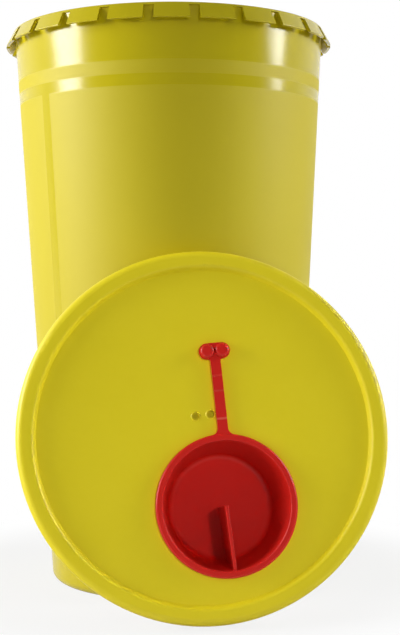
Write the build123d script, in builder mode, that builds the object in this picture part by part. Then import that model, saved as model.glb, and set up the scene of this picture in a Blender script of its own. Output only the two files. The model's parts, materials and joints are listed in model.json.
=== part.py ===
from build123d import *

import os
from math import atan2, cos, hypot, pi, radians, sin

# Sharps bin: a tapered tub, the lid leaning against it, and the red closure that plugs the lid's aperture.
# Millimetres. The origin is the centre of the tub's foot, on the surface that the bin stands on.

# Tub
tub_height = 220.6
base_radius = 49.8
mouth_radius = 62.3
tub_wall = 1.3
tub_floor = 1.8
foot_round = 3.3
floor_round = 3.0

# Rim fingers: the springy barbs that hold the lid down for good
finger_ledge = 0.4
finger_reach = 3.3
finger_drop = 6.1
finger_wall = 1.2
finger_count = 24
finger_slot = 3.9
finger_turn = 9.8
lip_height = 1.0
lip_round = 0.5
tip_round = 0.25
finger_root = mouth_radius + finger_ledge
rim_radius = finger_root + finger_reach

# Lid, in its own frame: z = 0 on top of the bead, and as wide as the finger tips
lid_radius = rim_radius
lid_wall = 1.2
bead_width = 7.0
bead_round = 2.6
panel_drop = 2.2
panel_thickness = 1.5
roof_thickness = 1.3
skirt_depth = 8.6
plug_clearance = 0.4
plug_wall = 1.4
plug_depth = 8.0
snap_reach = 0.7
snap_height = 1.0

# Aperture and the red closure, placed on the lid's panel
cap_x = 7.0
cap_y = -25.1
cap_flange_radius = 25.0
cap_flange_thickness = 1.7
cap_plug_radius = 23.8
cap_floor_radius = 19.0
cap_depth = 20.5
cap_wall = 1.15
cap_round = 2.4
cap_corner = 4.0
cap_edge_round = 0.4
aperture_clearance = 0.45
collar_wall = 1.2
collar_depth = 4.0
fin_thickness = 1.2
fin_drop = 1.6
fin_turn = 1.6
fin_round = 0.4

# Strap from the cap to its anchor, with two hinge lines and a groove between them
closure_gap = 0.15
strap_turn = 4.4
strap_offset = 1.6
strap_width = 3.6
strap_thickness = 1.2
neck_round = 2.4
cap_hinge_reach = 30.4
groove_reach = 40.3
anchor_hinge_reach = 45.8
anchor_reach = 54.6
hinge_gap = 0.3
groove_width = 0.5
groove_depth = 0.3

# Anchor studs, and the spare seat for them beside the strap
stud_spacing = 5.3
stud_radius = 1.1
stud_clearance = 0.15
stud_barb = 0.45
barb_height = 0.8
lobe_radius = 2.9
lobe_ledge = 0.3
lobe_height = 1.4
lobe_round = 1.3
tail_round = 0.8
spare_x = -0.3
spare_y = 6.7
spare_turn = 6.3
spare_depth = 0.9
spare_collar = 0.5
spare_collar_height = 0.25

# How the lid stands: leaning back on the tub, a little turned and off to one side
lid_lean = 11.3
lid_yaw = 6.4
lid_side = 13.0
lean_gap = 0.2


def wall_radius(height):
    """Outer radius of the tub's wall at a height above the floor."""
    return base_radius + (mouth_radius - base_radius) * height / tub_height


def corner(sketch, x, y):
    """The corner of a section that lies nearest to a point."""
    return sketch.vertices().sort_by_distance((x, y))[0]


def section_of(plane):
    """The plane through another plane's axis, with its own y axis along that axis."""
    return Plane(plane.origin, x_dir=plane.x_dir, z_dir=-plane.y_dir)


def axis_of(plane):
    return Axis(plane.origin, plane.z_dir)


# The lid's directions: its face looks out and up, its back edge stands on the floor.
lean = radians(lid_lean)
yaw = radians(lid_yaw)
face_normal = Vector(sin(yaw) * cos(lean), -cos(yaw) * cos(lean), sin(lean))
lid_across = Vector(cos(yaw), sin(yaw), 0)
lid_up = face_normal.cross(lid_across)
lid_centre_height = lid_radius * cos(lean) + skirt_depth * sin(lean)


def gap_to_wall(distance):
    """Least gap between the lid's back edge and the tub, with the lid's centre this far in front."""
    centre = Vector(lid_side, -distance, lid_centre_height) - face_normal * skirt_depth
    gaps = []
    for step in range(181):
        angle = pi * step / 180
        point = centre + lid_across * (lid_radius * cos(angle)) + lid_up * (lid_radius * sin(angle))
        gaps.append(hypot(point.X, point.Y) - wall_radius(point.Z))
    return min(gaps)


near_distance = base_radius
far_distance = rim_radius + 2 * lid_radius
for _ in range(40):
    lid_distance = (near_distance + far_distance) / 2
    if gap_to_wall(lid_distance) > lean_gap:
        far_distance = lid_distance
    else:
        near_distance = lid_distance

lid_plane = Plane(
    origin=(lid_side, -lid_distance, lid_centre_height),
    x_dir=lid_across,
    z_dir=face_normal,
)

# The closure's frame: the cap's centre just above the panel, with y along the strap to the anchor
panel_plane = lid_plane.offset(-panel_drop)
closure_plane = Plane(panel_plane * Location((cap_x, cap_y, closure_gap), (0, 0, strap_turn)))
strap_plane = Plane(closure_plane * Location((strap_offset, 0, 0)))
stud_plane = Plane(strap_plane * Location((0, anchor_reach, 0)))
spare_plane = Plane(panel_plane * Location((spare_x, spare_y, 0), (0, 0, spare_turn)))
hole_radius = stud_radius + stud_clearance
aperture_radius = cap_plug_radius + aperture_clearance

# Tub wall and floor, with a flat underside that the bin stands on
with BuildPart() as tub_shell:
    with BuildSketch(Plane.XZ) as tub_section:
        with BuildLine():
            Polyline(
                (0, 0),
                (base_radius, 0),
                (mouth_radius, tub_height),
                (mouth_radius - tub_wall, tub_height),
                (wall_radius(tub_floor) - tub_wall, tub_floor),
                (0, tub_floor),
                close=True,
            )
        make_face()
        fillet(corner(tub_section, base_radius, 0), foot_round)
        fillet(corner(tub_section, wall_radius(tub_floor) - tub_wall, tub_floor), floor_round)
    revolve(axis=Axis.Z)

# Rim fingers: a flared skirt from the top of the wall, slotted all round below its lip
flare = atan2(rim_radius - finger_root, finger_drop)
finger_width = finger_wall / cos(flare)
wall_middle = mouth_radius - tub_wall / 2
tip_height = tub_height - finger_drop
crotch_rise = (rim_radius - finger_width - wall_middle) * finger_drop / finger_reach
crotch_height = tip_height + crotch_rise
with BuildPart() as rim_fingers:
    with BuildSketch(Plane.XZ) as finger_section:
        with BuildLine():
            Polyline(
                (wall_middle, tub_height),
                (finger_root, tub_height),
                (rim_radius, tip_height),
                (rim_radius - finger_width, tip_height),
                (wall_middle, crotch_height),
                close=True,
            )
        make_face()
        fillet(corner(finger_section, finger_root, tub_height), lip_round)
        fillet(corner(finger_section, rim_radius, tip_height), tip_round)
    revolve(axis=Axis.Z)
    with BuildSketch(Plane.XY.offset(tub_height - lip_height)):
        with PolarLocations(rim_radius, finger_count, start_angle=finger_turn):
            Rectangle(2 * (rim_radius - wall_middle), finger_slot)
    extrude(amount=-finger_drop, mode=Mode.SUBTRACT)

with BuildPart() as tub:
    add(tub_shell.part)
    add(rim_fingers.part)
tub.part.label = "tub"

# Lid: a flat panel inside a raised bead, whose channel takes the tub's rim
plug_radius = mouth_radius - tub_wall - plug_clearance
bead_inner = lid_radius - bead_width
snap_top = snap_height - skirt_depth
with BuildPart() as lid:
    with BuildSketch(section_of(lid_plane)) as lid_section:
        with BuildLine():
            Polyline(
                (0, -panel_drop),
                (bead_inner, -panel_drop),
                (bead_inner + panel_drop / 2, 0),
                (lid_radius, 0),
                (lid_radius, -skirt_depth),
                (lid_radius - lid_wall - snap_reach / 2, -skirt_depth),
                (lid_radius - lid_wall - snap_reach, snap_top - snap_height / 3),
                (lid_radius - lid_wall, snap_top),
                (lid_radius - lid_wall, -roof_thickness),
                (plug_radius, -roof_thickness),
                (plug_radius, -plug_depth),
                (plug_radius - plug_wall, -plug_depth),
                (plug_radius - plug_wall, -panel_drop - panel_thickness),
                (0, -panel_drop - panel_thickness),
                close=True,
            )
        make_face()
        fillet(corner(lid_section, lid_radius, 0), bead_round)
        fillet(corner(lid_section, bead_inner + panel_drop / 2, 0), bead_round / 2)
    revolve(axis=axis_of(lid_plane))
    # Collar round the aperture, then the aperture through panel and collar
    with BuildSketch(panel_plane.offset(-panel_thickness)):
        with Locations((cap_x, cap_y)):
            Circle(aperture_radius + collar_wall)
    extrude(amount=-collar_depth)
    with BuildSketch(panel_plane):
        with Locations((cap_x, cap_y)):
            Circle(aperture_radius)
    extrude(amount=-panel_thickness - collar_depth, mode=Mode.SUBTRACT)
    # Stud holes for the anchor
    with BuildSketch(stud_plane.offset(-closure_gap)):
        with GridLocations(stud_spacing, 0, 2, 1):
            Circle(hole_radius)
    extrude(amount=-panel_thickness, mode=Mode.SUBTRACT)
    # Spare seat: two blind dimples, each with a low collar
    with BuildSketch(spare_plane):
        with GridLocations(stud_spacing, 0, 2, 1):
            Circle(hole_radius + spare_collar)
    extrude(amount=spare_collar_height, taper=45)
    with BuildSketch(spare_plane.offset(spare_collar_height)):
        with GridLocations(stud_spacing, 0, 2, 1):
            Circle(hole_radius)
    extrude(amount=-spare_collar_height - spare_depth, mode=Mode.SUBTRACT)
lid.part.label = "lid"

# Closure cap: a tapered cup with a flange, a grip fin across half of it, and the neck of the strap
floor_height = cap_flange_thickness - cap_depth
cap_underside = floor_height - cap_wall
fin_plane = Plane(closure_plane * Location((0, 0, 0), (0, 0, fin_turn)))
fin_section_plane = Plane(fin_plane.origin, x_dir=-fin_plane.y_dir, z_dir=-fin_plane.x_dir)
with BuildPart() as fin:
    with BuildSketch(fin_section_plane) as fin_section:
        with BuildLine():
            Polyline(
                (0, floor_height - cap_wall / 2),
                (cap_floor_radius + cap_wall / 2, floor_height - cap_wall / 2),
                (cap_plug_radius - cap_wall / 2, 0),
                (cap_plug_radius - cap_wall / 2, cap_flange_thickness - fin_drop),
                (0, cap_flange_thickness - fin_drop),
                close=True,
            )
        make_face()
        fillet(
            corner(fin_section, cap_floor_radius + cap_wall / 2, floor_height - cap_wall / 2),
            cap_round + cap_wall / 2,
        )
    extrude(amount=fin_thickness / 2, both=True)
    along_fin = fin.edges().filter_by(Axis(fin_plane.origin, fin_plane.y_dir))
    fillet(along_fin.group_by(axis_of(closure_plane))[-1], fin_round)

with BuildPart() as closure_cap:
    with BuildSketch(section_of(closure_plane)) as cap_section:
        with BuildLine():
            Polyline(
                (0, cap_underside),
                (cap_floor_radius + cap_wall, cap_underside),
                (cap_plug_radius, 0),
                (cap_flange_radius, 0),
                (cap_flange_radius, cap_flange_thickness),
                (cap_plug_radius - cap_wall, cap_flange_thickness),
                (cap_floor_radius, floor_height),
                (0, floor_height),
                close=True,
            )
        make_face()
        fillet(corner(cap_section, cap_floor_radius, floor_height), cap_round)
        fillet(corner(cap_section, cap_floor_radius + cap_wall, cap_underside), cap_corner)
        fillet(corner(cap_section, cap_flange_radius, cap_flange_thickness), cap_flange_thickness / 2)
        fillet(corner(cap_section, cap_plug_radius - cap_wall, cap_flange_thickness), cap_edge_round)
    revolve(axis=axis_of(closure_plane))
    add(fin.part)
    with BuildSketch(closure_plane) as neck:
        Circle(cap_flange_radius)
        with Locations((strap_offset, 0)):
            Rectangle(strap_width, cap_hinge_reach - hinge_gap / 2, align=(Align.CENTER, Align.MIN))
        fillet(neck.vertices().group_by(Axis.Y)[-3:-1], neck_round)
        Circle(cap_plug_radius - cap_wall / 2, mode=Mode.SUBTRACT)
    extrude(amount=strap_thickness)
closure_cap.part.label = "closure_cap"

# Strap: a flat strip between the two hinge lines
strap_length = anchor_hinge_reach - cap_hinge_reach - hinge_gap
with BuildPart() as closure_strap:
    with BuildSketch(strap_plane):
        with Locations((0, cap_hinge_reach + hinge_gap / 2)):
            Rectangle(strap_width, strap_length, align=(Align.CENTER, Align.MIN))
    extrude(amount=strap_thickness)
    with BuildSketch(strap_plane.offset(strap_thickness)):
        with Locations((0, groove_reach)):
            Rectangle(strap_width, groove_width)
    extrude(amount=-groove_depth, mode=Mode.SUBTRACT)
closure_strap.part.label = "closure_strap"

# Anchor: two domed lobes on a short tail, with barbed studs through the lid
tail_length = anchor_reach - anchor_hinge_reach - hinge_gap / 2
with BuildPart() as closure_anchor:
    with BuildSketch(stud_plane) as anchor_outline:
        SlotCenterToCenter(stud_spacing, 2 * lobe_radius)
        Rectangle(strap_width, tail_length, align=(Align.CENTER, Align.MAX))
        fillet(anchor_outline.vertices().group_by(Axis.Y)[1], tail_round)
    extrude(amount=strap_thickness)
    with BuildSketch(stud_plane.offset(strap_thickness)):
        with GridLocations(stud_spacing, 0, 2, 1):
            Circle(lobe_radius - lobe_ledge)
    extrude(amount=lobe_height)
    fillet(closure_anchor.edges().group_by(axis_of(closure_plane))[-1], lobe_round)
    with BuildSketch(stud_plane):
        with GridLocations(stud_spacing, 0, 2, 1):
            Circle(stud_radius)
    stud_length = closure_gap + panel_thickness + stud_clearance
    extrude(amount=-stud_length)
    with BuildSketch(stud_plane.offset(-stud_length)):
        with GridLocations(stud_spacing, 0, 2, 1):
            Circle(stud_radius + stud_barb)
    extrude(amount=-barb_height, taper=35)
closure_anchor.part.label = "closure_anchor"

os.makedirs("parts", exist_ok=True)
for piece in (tub, lid, closure_anchor, closure_strap, closure_cap):
    export_step(piece.part, f"parts/{piece.part.label}.step")
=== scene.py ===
import json
from math import cos, pi, radians, sin

import bmesh
import bpy
from bpy.props import FloatProperty, FloatVectorProperty, PointerProperty
from mathutils import Matrix, Vector


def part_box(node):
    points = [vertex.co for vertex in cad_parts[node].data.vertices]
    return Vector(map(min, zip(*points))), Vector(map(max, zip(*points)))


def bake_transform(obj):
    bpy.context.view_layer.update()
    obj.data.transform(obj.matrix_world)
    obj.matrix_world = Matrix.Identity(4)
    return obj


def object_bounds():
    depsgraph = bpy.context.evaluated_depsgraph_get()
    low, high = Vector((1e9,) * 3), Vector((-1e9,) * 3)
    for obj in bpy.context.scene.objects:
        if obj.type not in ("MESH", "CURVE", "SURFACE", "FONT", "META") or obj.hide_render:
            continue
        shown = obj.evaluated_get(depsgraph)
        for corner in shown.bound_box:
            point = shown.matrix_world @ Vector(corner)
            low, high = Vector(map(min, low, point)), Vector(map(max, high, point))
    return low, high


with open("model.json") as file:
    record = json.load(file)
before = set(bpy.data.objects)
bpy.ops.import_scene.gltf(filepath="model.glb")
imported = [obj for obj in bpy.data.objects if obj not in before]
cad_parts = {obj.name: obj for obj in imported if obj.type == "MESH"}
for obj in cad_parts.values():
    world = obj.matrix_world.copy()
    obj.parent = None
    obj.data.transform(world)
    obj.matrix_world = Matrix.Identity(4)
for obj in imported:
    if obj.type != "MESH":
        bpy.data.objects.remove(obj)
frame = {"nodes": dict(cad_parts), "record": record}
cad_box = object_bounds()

bl_info = {
    "name": "Sharps bin",
    "version": (1, 0, 0),
    "blender": (4, 5, 0),
    "location": "View3D > Sidebar > Sharps bin",
    "description": "Finishes for a yellow sharps bin with a red closure, and a small studio round it",
    "category": "Object",
}

MM = 0.001
WHITE = (1, 1, 1, 1)
PLASTIC_IOR = 1.49
RUBBED_ROUGHNESS = 0.1
CLOSURE_PLASTIC = "Closure plastic"

# The closure's strap
GROOVE_REACH = 9.9 * MM
FILM_CROWN = 0.1 * MM

# The two blind dimples of the lid's spare seat
DIMPLES = (
    (9.70 * MM, -74.64 * MM, 72.26 * MM),
    (14.93 * MM, -73.94 * MM, 72.83 * MM),
)
DIMPLE_RADIUS = 1.25 * MM


class Value:
    """A shader socket in an expression, so that arithmetic on it adds Math nodes."""

    def __init__(self, finish, socket):
        self.finish = finish
        self.socket = socket

    def output(self, name):
        """Another output of the node that this value comes from."""
        return Value(self.finish, self.socket.node.outputs[name])

    def maths(self, operation, *inputs):
        return self.finish.add("ShaderNodeMath", {"operation": operation}, dict(enumerate(inputs)))

    def __add__(self, other):
        return self.maths("ADD", self, other)

    def __radd__(self, other):
        return self.maths("ADD", other, self)

    def __sub__(self, other):
        return self.maths("SUBTRACT", self, other)

    def __rsub__(self, other):
        return self.maths("SUBTRACT", other, self)

    def __mul__(self, other):
        return self.maths("MULTIPLY", self, other)

    def __rmul__(self, other):
        return self.maths("MULTIPLY", other, self)

    def __neg__(self):
        return self.maths("MULTIPLY", self, -1)


class Finish:
    """The nodes of one material, or of the world."""

    def __init__(self, owner):
        owner.use_nodes = True
        self.tree = owner.node_tree
        self.tree.nodes.clear()

    def add(self, kind, settings, sockets, output=0):
        """Adds a node, sets it up, fills its sockets, and returns one of its outputs."""
        node = self.tree.nodes.new(kind)
        for name, value in settings.items():
            setattr(node, name, value)
        for name, value in sockets.items():
            if isinstance(value, Value):
                self.tree.links.new(value.socket, node.inputs[name])
            else:
                node.inputs[name].default_value = value
        return Value(self, node.outputs[output]) if node.outputs else None

    def place(self):
        """Where a point of the surface is, in the solids' own frame."""
        return self.add("ShaderNodeTexCoord", {}, {}, output="Object")

    def parts(self, vector):
        """A vector's three numbers: to the right, to the back and up."""
        rightward = self.add("ShaderNodeSeparateXYZ", {}, {"Vector": vector})
        return rightward, rightward.output("Y"), rightward.output("Z")

    def vector_maths(self, operation, *vectors, output="Value"):
        return self.add("ShaderNodeVectorMath", {"operation": operation}, dict(enumerate(vectors)), output)

    def step(self, value, start, end):
        """0 up to start and 1 from end on, with a soft change between. Start may be above end."""
        settings = {"interpolation_type": "SMOOTHSTEP"}
        return self.add("ShaderNodeMapRange", settings, {"Value": value, "From Min": start, "From Max": end})

    def between(self, value, low, high, edge):
        """1 between low and high, with soft edges."""
        return self.step(value, low - edge, low + edge) * self.step(value, high + edge, high - edge)

    def noise(self, place, scale, detail, roughness=0.5):
        sockets = {"Vector": place, "Scale": scale, "Detail": detail, "Roughness": roughness}
        return self.add("ShaderNodeTexNoise", {"noise_dimensions": "3D"}, sockets)

    def colour_mix(self, share, first, second):
        """One colour at share 0 and another at share 1."""
        first_colour, second_colour, mixed = 6, 7, 2
        sockets = {0: share, first_colour: first, second_colour: second}
        return self.add("ShaderNodeMix", {"data_type": "RGBA"}, sockets, output=mixed)

    def bump(self, height, strength, depth, over=None):
        """A surface raised by height, over another bumped surface where one is given."""
        sockets = {"Strength": strength, "Distance": depth, "Height": height}
        if over:
            sockets["Normal"] = over
        return self.add("ShaderNodeBump", {}, sockets)

    def plastic(self, colour, roughness, surface):
        """The plastic's own shader, joined to the material's output."""
        sockets = {"Base Color": colour, "Roughness": roughness, "IOR": PLASTIC_IOR, "Normal": surface}
        shader = self.add("ShaderNodeBsdfPrincipled", {}, sockets)
        self.add("ShaderNodeOutputMaterial", {}, {"Surface": shader})


def new_plastic(name, node_names):
    """A new material on CAD nodes, and the finish to build it with."""
    material = bpy.data.materials.new(name)
    for node_name in node_names:
        node = frame["nodes"][node_name]
        node.data.materials.clear()
        node.data.materials.append(material)
    return Finish(material)


def opaque(colour):
    return (*colour, 1)


def paler(colour, gain):
    """The colour of plastic where light rubbing has left it paler."""
    lift = 0.01
    return tuple(channel * gain + lift for channel in colour)


def as_colour(name, description, default):
    return FloatVectorProperty(
        name=name, description=description, subtype="COLOR", size=3, min=0, max=1, default=default
    )


def as_length(name, description, default):
    return FloatProperty(
        name=name, description=description, subtype="DISTANCE", unit="LENGTH", default=default
    )


def as_angle(name, description, default):
    return FloatProperty(
        name=name, description=description, subtype="ANGLE", unit="ROTATION", default=default
    )


def as_share(name, description, default):
    return FloatProperty(
        name=name, description=description, subtype="FACTOR", min=0, max=1, default=default
    )


class Strap:
    """Where the closure's strap lies at rest: its two hinge lines, and its directions."""

    def __init__(self):
        joints = {joint["name"]: joint for joint in frame["record"]["behaviour"]["joints"]}
        self.cap_hinge = Vector(joints["cap_hinge"]["pos_m"])
        self.anchor_hinge = Vector(joints["strap_hinge"]["pos_m"])
        self.across = Vector(joints["cap_hinge"]["axis"]).normalized()
        run = self.anchor_hinge - self.cap_hinge
        self.length = run.length
        self.along = run.normalized()
        # Out of the lid's face, which looks to the front
        self.out = self.across.cross(self.along)
        if self.out.y > 0:
            self.out = -self.out

    def reach(self, finish, place):
        """How far along the strap a point of the surface is, from the cap's hinge line."""
        offset = finish.vector_maths("SUBTRACT", place, self.cap_hinge, output="Vector")
        return finish.vector_maths("DOT_PRODUCT", offset, self.along)


class TubSettings(bpy.types.PropertyGroup):
    colour: as_colour("Colour", "Yellow of the tub's wall", (0.59, 0.49, 0.005))
    dusty_colour: as_colour("Dusty colour", "Paler yellow where the wall is rubbed", (0.64, 0.53, 0.009))
    wear: as_share("Wear", "How far the rubbed wall goes to the dusty colour", 0.35)
    etched_paleness: as_share("Etched paleness", "How far the etched wall goes to the dusty colour", 0.3)
    gloss: as_share("Gloss roughness", "Roughness of the polished wall", 0.19)
    satin: as_share("Satin roughness", "Roughness of the etched band and panels", 0.56)
    band_bottom: as_length("Band bottom", "Height of the etched band's lower edge", 195.6 * MM)
    band_top: as_length("Band top", "Height of the etched band's upper edge", 200.4 * MM)
    panel_top: as_length("Panel top", "Height of the etched panels' upper edge", 191.2 * MM)
    panel_bottom: as_length("Panel bottom", "Height of the etched panels' lower edge", 14 * MM)
    strip_angle: as_angle(
        "Strip angle", "Where the polished strip stands, from the front towards the right", radians(-49.5)
    )
    strip_width: as_angle("Strip width", "Angle that the polished strip takes up", radians(4.8))


class LidSettings(bpy.types.PropertyGroup):
    # Painted light: the lid's yellow is lighter than the tub's though both are the same plastic, for the
    # stronger light on the lid's face
    colour: as_colour("Colour", "Yellow of the lid", (0.83, 0.69, 0.010))
    wear: as_share("Wear", "How far the rubbed lid goes to its paler colour", 0.5)
    satin: as_share("Roughness", "Roughness of the lid's face", 0.38)
    # Painted shade: a darker yellow painted into the two blind dimples, where little light reaches, and how
    # far it darkens them
    dimple_painted_shade_colour: as_colour("Dimple colour", "Yellow in the shade of the dimples", (0.34, 0.25, 0.006))
    dimple_painted_shade: as_share("Dimple shade", "How far the dimples go to their own colour", 0.5)


class ClosureSettings(bpy.types.PropertyGroup):
    colour: as_colour("Colour", "Red of the closure", (0.66, 0.011, 0.005))
    wear: as_share("Wear", "How far the rubbed closure goes to its paler colour", 0.6)
    # Painted highlight: paler red painted along the hinge lines and the groove, for the light their edges
    # catch
    pale_colour: as_colour("Pale colour", "Red where the plastic is thinned or bent", (0.85, 0.16, 0.10))
    gloss: as_share("Roughness", "Roughness of the closure", 0.34)
    film_length: as_length("Film length", "Length of a hinge film along the strap", 0.9 * MM)
    film_width: as_length("Film width", "Width of a hinge film", 3.5 * MM)
    film_thickness: as_length("Film thickness", "Thickness of a hinge film", 0.25 * MM)


class StudioSettings(bpy.types.PropertyGroup):
    fill: as_share("Fill", "Brightness of the light that comes from all round", 0.12)
    lamp_distance: as_length("Lamp distance", "From the object to each lamp", 1.1)
    left_angle: as_angle("Left lamp angle", "From the front towards the left", radians(80))
    left_elevation: as_angle("Left lamp elevation", "How high the left lamp stands", radians(18))
    right_angle: as_angle("Right lamp angle", "From the front towards the right", radians(89))
    right_elevation: as_angle("Right lamp elevation", "How high the right lamp stands", radians(21))
    front_angle: as_angle("Front lamp angle", "From the front towards the right", radians(20))
    front_elevation: as_angle("Front lamp elevation", "How high the front lamp stands", radians(17))
    front_spread: as_angle(
        "Front lamp spread", "Angle that the front lamp's light keeps within", radians(26)
    )
    camera_place: FloatVectorProperty(
        name="Camera place", description="Where the camera stands", subtype="TRANSLATION", unit="LENGTH",
        size=3, default=(11.6 * MM, -513.7 * MM, 118.3 * MM),
    )
    camera_tilt: as_angle("Camera tilt", "How far the camera looks down", 0.0255)
    camera_roll: as_angle("Camera roll", "How far the camera leans to its side", -0.0101)
    camera_lens: FloatProperty(
        name="Camera lens", description="The lens's focal length", unit="CAMERA", default=70.7
    )


class SHARPSBIN_OT_tub(bpy.types.Operator):
    """Give the tub its polished and etched yellow plastic"""

    bl_idname = "sharpsbin.tub"
    bl_label = "Tub"

    def execute(self, context):
        settings = context.scene.sharps_bin_tub
        finish = new_plastic("Tub plastic", ["tub"])
        place = finish.place()
        etched = self.etching(finish, place, settings)
        rubbed = finish.noise(place, scale=38, detail=4, roughness=0.6)
        colour = finish.colour_mix(
            rubbed * settings.wear + etched * settings.etched_paleness,
            opaque(settings.colour),
            opaque(settings.dusty_colour),
        )
        roughness = settings.gloss + etched * (settings.satin - settings.gloss)
        grain = finish.noise(place, scale=2600, detail=2)
        waves = finish.noise(place, scale=45, detail=1)
        grainy = finish.bump(grain * etched, strength=0.25, depth=0.05 * MM)
        wavy = finish.bump(waves, strength=0.25, depth=0.6 * MM, over=grainy)
        finish.plastic(colour, roughness, wavy)
        return {"FINISHED"}

    def etching(self, finish, place, settings):
        """1 on the etched band and panels, and 0 on the polished wall."""
        rightward, backward, height = finish.parts(place)
        edge = 0.3 * MM
        band = finish.between(height, settings.band_bottom, settings.band_top, edge)
        panels = finish.between(height, settings.panel_bottom, settings.panel_top, edge)
        # Two polished strips part the panels, half a turn from each other, where the mould's halves meet
        angle = rightward.maths("ARCTAN2", rightward, -backward) - settings.strip_angle
        from_strip = angle.maths("WRAP", angle, pi / 2, -pi / 2)
        half_strip = settings.strip_width / 2
        strips = finish.between(from_strip, -half_strip, half_strip, radians(0.3))
        return band + panels * (1 - strips)


class SHARPSBIN_OT_lid(bpy.types.Operator):
    """Give the lid its satin yellow plastic"""

    bl_idname = "sharpsbin.lid"
    bl_label = "Lid"

    def execute(self, context):
        settings = context.scene.sharps_bin_lid
        finish = new_plastic("Lid plastic", ["lid"])
        place = finish.place()
        rubbed = finish.noise(place, scale=60, detail=4, roughness=0.6)
        pale_colour = paler(settings.colour, gain=1.12)
        colour = finish.colour_mix(rubbed * settings.wear, opaque(settings.colour), opaque(pale_colour))
        # Painted shade: the lid's yellow darkened inside each blind dimple
        for dimple in DIMPLES:
            distance = finish.vector_maths("DISTANCE", place, dimple)
            inside = finish.step(distance, DIMPLE_RADIUS * 1.3, DIMPLE_RADIUS * 0.85)
            shade = inside * settings.dimple_painted_shade
            colour = finish.colour_mix(shade, colour, opaque(settings.dimple_painted_shade_colour))
        roughness = settings.satin + rubbed * RUBBED_ROUGHNESS
        waves = finish.noise(place, scale=70, detail=2)
        finish.plastic(colour, roughness, finish.bump(waves, strength=0.2, depth=0.4 * MM))
        return {"FINISHED"}


class SHARPSBIN_OT_closure(bpy.types.Operator):
    """Give the closure its red plastic"""

    bl_idname = "sharpsbin.closure"
    bl_label = "Closure"

    def execute(self, context):
        settings = context.scene.sharps_bin_closure
        finish = new_plastic(CLOSURE_PLASTIC, ["closure_cap", "closure_strap", "closure_anchor"])
        place = finish.place()
        rubbed = finish.noise(place, scale=90, detail=4, roughness=0.6)
        pale_colour = paler(settings.colour, gain=1.1)
        colour = finish.colour_mix(rubbed * settings.wear, opaque(settings.colour), opaque(pale_colour))
        # Painted highlights along the hinge lines and the groove
        colour = finish.colour_mix(self.painted_highlight_lines(finish, place), colour, opaque(settings.pale_colour))
        roughness = settings.gloss + rubbed * RUBBED_ROUGHNESS
        waves = finish.noise(place, scale=110, detail=2)
        finish.plastic(colour, roughness, finish.bump(waves, strength=0.2, depth=0.3 * MM))
        return {"FINISHED"}

    def painted_highlight_lines(self, finish, place):
        """How far the plastic is painted paler along the two hinge lines and the groove: painted highlights
        for the light their edges catch.
        """
        strap = Strap()
        reach = strap.reach(finish, place)
        edge = 0.2 * MM

        def line(middle, half_width, paleness):
            return finish.between(reach, middle - half_width, middle + half_width, edge) * paleness

        cap_line = line(0, 0.35 * MM, 0.6)
        groove = line(GROOVE_REACH, 0.3 * MM, 0.35)
        anchor_line = line(strap.length, 0.3 * MM, 0.12)
        return cap_line + groove + anchor_line


class SHARPSBIN_OT_hinge_films(bpy.types.Operator):
    """Bridge the closure's two hinge lines with a thin film of its plastic"""

    bl_idname = "sharpsbin.hinge_films"
    bl_label = "Hinge films"

    def execute(self, context):
        settings = context.scene.sharps_bin_closure
        strap = Strap()
        films = (
            ("cap_hinge_film", strap.cap_hinge, "cap", "strap"),
            ("strap_hinge_film", strap.anchor_hinge, "strap", "bin"),
        )
        for name, middle, first_body, second_body in films:
            film = self.make_film(context, name, middle, strap, settings)
            film.data.materials.append(bpy.data.materials[CLOSURE_PLASTIC])
            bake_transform(film)
        return {"FINISHED"}

    def make_film(self, context, name, middle, strap, settings):
        """A strip across the strap, crowned over the gap, its ends let into the plastic on both sides."""
        steps = 12
        half_length = settings.film_length / 2
        half_width = settings.film_width / 2
        mesh = bmesh.new()
        rings = []
        for step in range(steps + 1):
            share = 2 * step / steps - 1
            top = FILM_CROWN * (1 - share * share)
            bottom = top - settings.film_thickness
            centre = middle + strap.along * (share * half_length)
            corners = ((-half_width, top), (-half_width, bottom), (half_width, bottom), (half_width, top))
            rings.append([
                mesh.verts.new(centre + strap.across * side + strap.out * rise) for side, rise in corners
            ])
        for ring, following in zip(rings, rings[1:]):
            for corner in range(4):
                other = (corner + 1) % 4
                mesh.faces.new((ring[corner], ring[other], following[other], following[corner]))
        mesh.faces.new(rings[0])
        mesh.faces.new(reversed(rings[-1]))
        bmesh.ops.recalc_face_normals(mesh, faces=mesh.faces)
        data = bpy.data.meshes.new(name)
        mesh.to_mesh(data)
        mesh.free()
        film = bpy.data.objects.new(name, data)
        context.scene.collection.objects.link(film)
        return film


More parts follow.
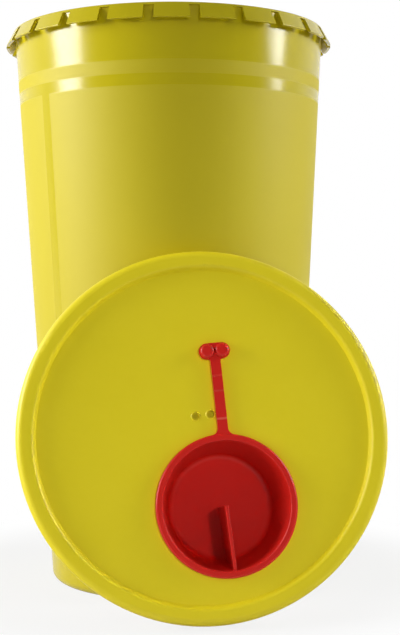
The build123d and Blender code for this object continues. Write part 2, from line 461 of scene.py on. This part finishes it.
class SHARPSBIN_OT_studio(bpy.types.Operator):
    """Set up the floor, the light and the camera"""

    bl_idname = "sharpsbin.studio"
    bl_label = "Studio"

    def execute(self, context):
        settings = context.scene.sharps_bin_studio
        self.make_floor(context)
        self.make_world(context, settings)
        self.make_lamps(context, settings)
        self.make_camera(context, settings)
        context.scene.view_settings.view_transform = "Standard"
        return {"FINISHED"}

    def sees_white(self, finish, vector, front, back):
        """1 for the rays that see the background itself: the camera's, those that glass sends on, and those
        that gloss sends on to the back, where vector's depth goes from front to back."""
        camera = finish.add("ShaderNodeLightPath", {}, {}, output="Is Camera Ray")
        _, depth, _ = finish.parts(vector)
        behind = finish.step(depth, front, back)
        return camera + camera.output("Is Glossy Ray") * behind + camera.output("Is Transmission Ray")

    def make_floor(self, context):
        half = 4
        mesh = bpy.data.meshes.new("Floor")
        corners = [(-half, -half, 0), (half, -half, 0), (half, half, 0), (-half, half, 0)]
        mesh.from_pydata(corners, [], [(0, 1, 2, 3)])
        floor = bpy.data.objects.new("Floor", mesh)
        context.scene.collection.objects.link(floor)
        material = bpy.data.materials.new("White paper")
        mesh.materials.append(material)
        finish = Finish(material)
        place = finish.place()
        # The white floor lets some of the real shadow through close to the object
        shadow_end, shadow_start, shadow_share = 0.14, 0.085, 0.16
        distance = finish.vector_maths("LENGTH", place)
        shadowed = finish.step(distance, shadow_end, shadow_start) * shadow_share
        white_share = self.sees_white(finish, place, -0.2, 0.2) * (1 - shadowed)
        paper = finish.add("ShaderNodeBsdfDiffuse", {}, {"Color": (0.65, 0.65, 0.65, 1)})
        white = finish.add("ShaderNodeEmission", {}, {"Color": WHITE, "Strength": 1})
        surface = finish.add("ShaderNodeMixShader", {}, {0: white_share, 1: paper, 2: white})
        finish.add("ShaderNodeOutputMaterial", {}, {"Surface": surface})

    def make_world(self, context, settings):
        world = bpy.data.worlds.new("Studio")
        context.scene.world = world
        finish = Finish(world)
        direction = finish.add("ShaderNodeTexCoord", {}, {}, output="Generated")
        white_share = self.sees_white(finish, direction, -0.2, 0.6)
        strength = settings.fill + white_share * (1 - settings.fill)
        background = finish.add("ShaderNodeBackground", {}, {"Color": WHITE, "Strength": strength})
        finish.add("ShaderNodeOutputWorld", {}, {"Surface": background})

    def make_lamps(self, context, settings):
        tub_middle = Vector((0, 0, cad_box[1].z / 2))
        low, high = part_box("lid")
        lid_middle = (Vector(low) + Vector(high)) / 2
        distance = settings.lamp_distance
        self.make_lamp(
            context, "Left lamp", tub_middle, distance, -settings.left_angle, settings.left_elevation,
            lean=radians(52), width=0.40, height=0.66, power=13.5,
        )
        self.make_lamp(
            context, "Right lamp", tub_middle, distance, settings.right_angle, settings.right_elevation,
            lean=radians(-30), width=0.27, height=0.5, power=6.8,
        )
        front_lamp = self.make_lamp(
            context, "Front lamp", lid_middle, distance, settings.front_angle, settings.front_elevation,
            lean=0, width=0.1, height=0.1, power=0.072,
        )
        front_lamp.visible_glossy = False
        front_lamp.data.spread = settings.front_spread

    def make_lamp(self, context, name, target, distance, angle, elevation, lean, width, height, power):
        """A soft lamp that looks at target, turned on its own axis by lean."""
        light = bpy.data.lights.new(name, "AREA")
        light.shape = "RECTANGLE"
        light.size = width
        light.size_y = height
        light.energy = power
        lamp = bpy.data.objects.new(name, light)
        context.scene.collection.objects.link(lamp)
        level = cos(elevation)
        towards = Vector((sin(angle) * level, -cos(angle) * level, sin(elevation)))
        turn = towards.to_track_quat("Z", "Y").to_matrix().to_4x4() @ Matrix.Rotation(lean, 4, "Z")
        lamp.matrix_world = Matrix.Translation(target + towards * distance) @ turn
        return lamp

    def make_camera(self, context, settings):
        data = bpy.data.cameras.new("Camera")
        data.sensor_width = 36
        data.lens = settings.camera_lens
        data.clip_start = 10 * MM
        camera = bpy.data.objects.new("Camera", data)
        context.scene.collection.objects.link(camera)
        level_view = pi / 2
        tilt = Matrix.Rotation(level_view - settings.camera_tilt, 4, "X")
        roll = Matrix.Rotation(settings.camera_roll, 4, "Z")
        camera.matrix_world = Matrix.Translation(settings.camera_place) @ tilt @ roll
        context.scene.camera = camera


class SHARPSBIN_PT_panel(bpy.types.Panel):
    """The bin's finishes and its studio"""

    bl_idname = "SHARPSBIN_PT_panel"
    bl_label = "Sharps bin"
    bl_space_type = "VIEW_3D"
    bl_region_type = "UI"
    bl_category = "Sharps bin"

    def draw(self, context):
        for operator in OPERATORS:
            self.layout.operator(operator.bl_idname)


SETTINGS = {
    "sharps_bin_tub": TubSettings,
    "sharps_bin_lid": LidSettings,
    "sharps_bin_closure": ClosureSettings,
    "sharps_bin_studio": StudioSettings,
}
OPERATORS = (
    SHARPSBIN_OT_tub,
    SHARPSBIN_OT_lid,
    SHARPSBIN_OT_closure,
    SHARPSBIN_OT_hinge_films,
    SHARPSBIN_OT_studio,
)


def register():
    for kind in (*SETTINGS.values(), *OPERATORS, SHARPSBIN_PT_panel):
        bpy.utils.register_class(kind)
    for name, kind in SETTINGS.items():
        setattr(bpy.types.Scene, name, PointerProperty(type=kind))


def unregister():
    for name in SETTINGS:
        delattr(bpy.types.Scene, name)
    for kind in (SHARPSBIN_PT_panel, *OPERATORS, *SETTINGS.values()):
        bpy.utils.unregister_class(kind)


def main():
    register()
    bpy.ops.sharpsbin.tub()
    bpy.ops.sharpsbin.lid()
    bpy.ops.sharpsbin.closure()
    bpy.ops.sharpsbin.hinge_films()
    bpy.ops.sharpsbin.studio()


if __name__ == "__main__":
    main()
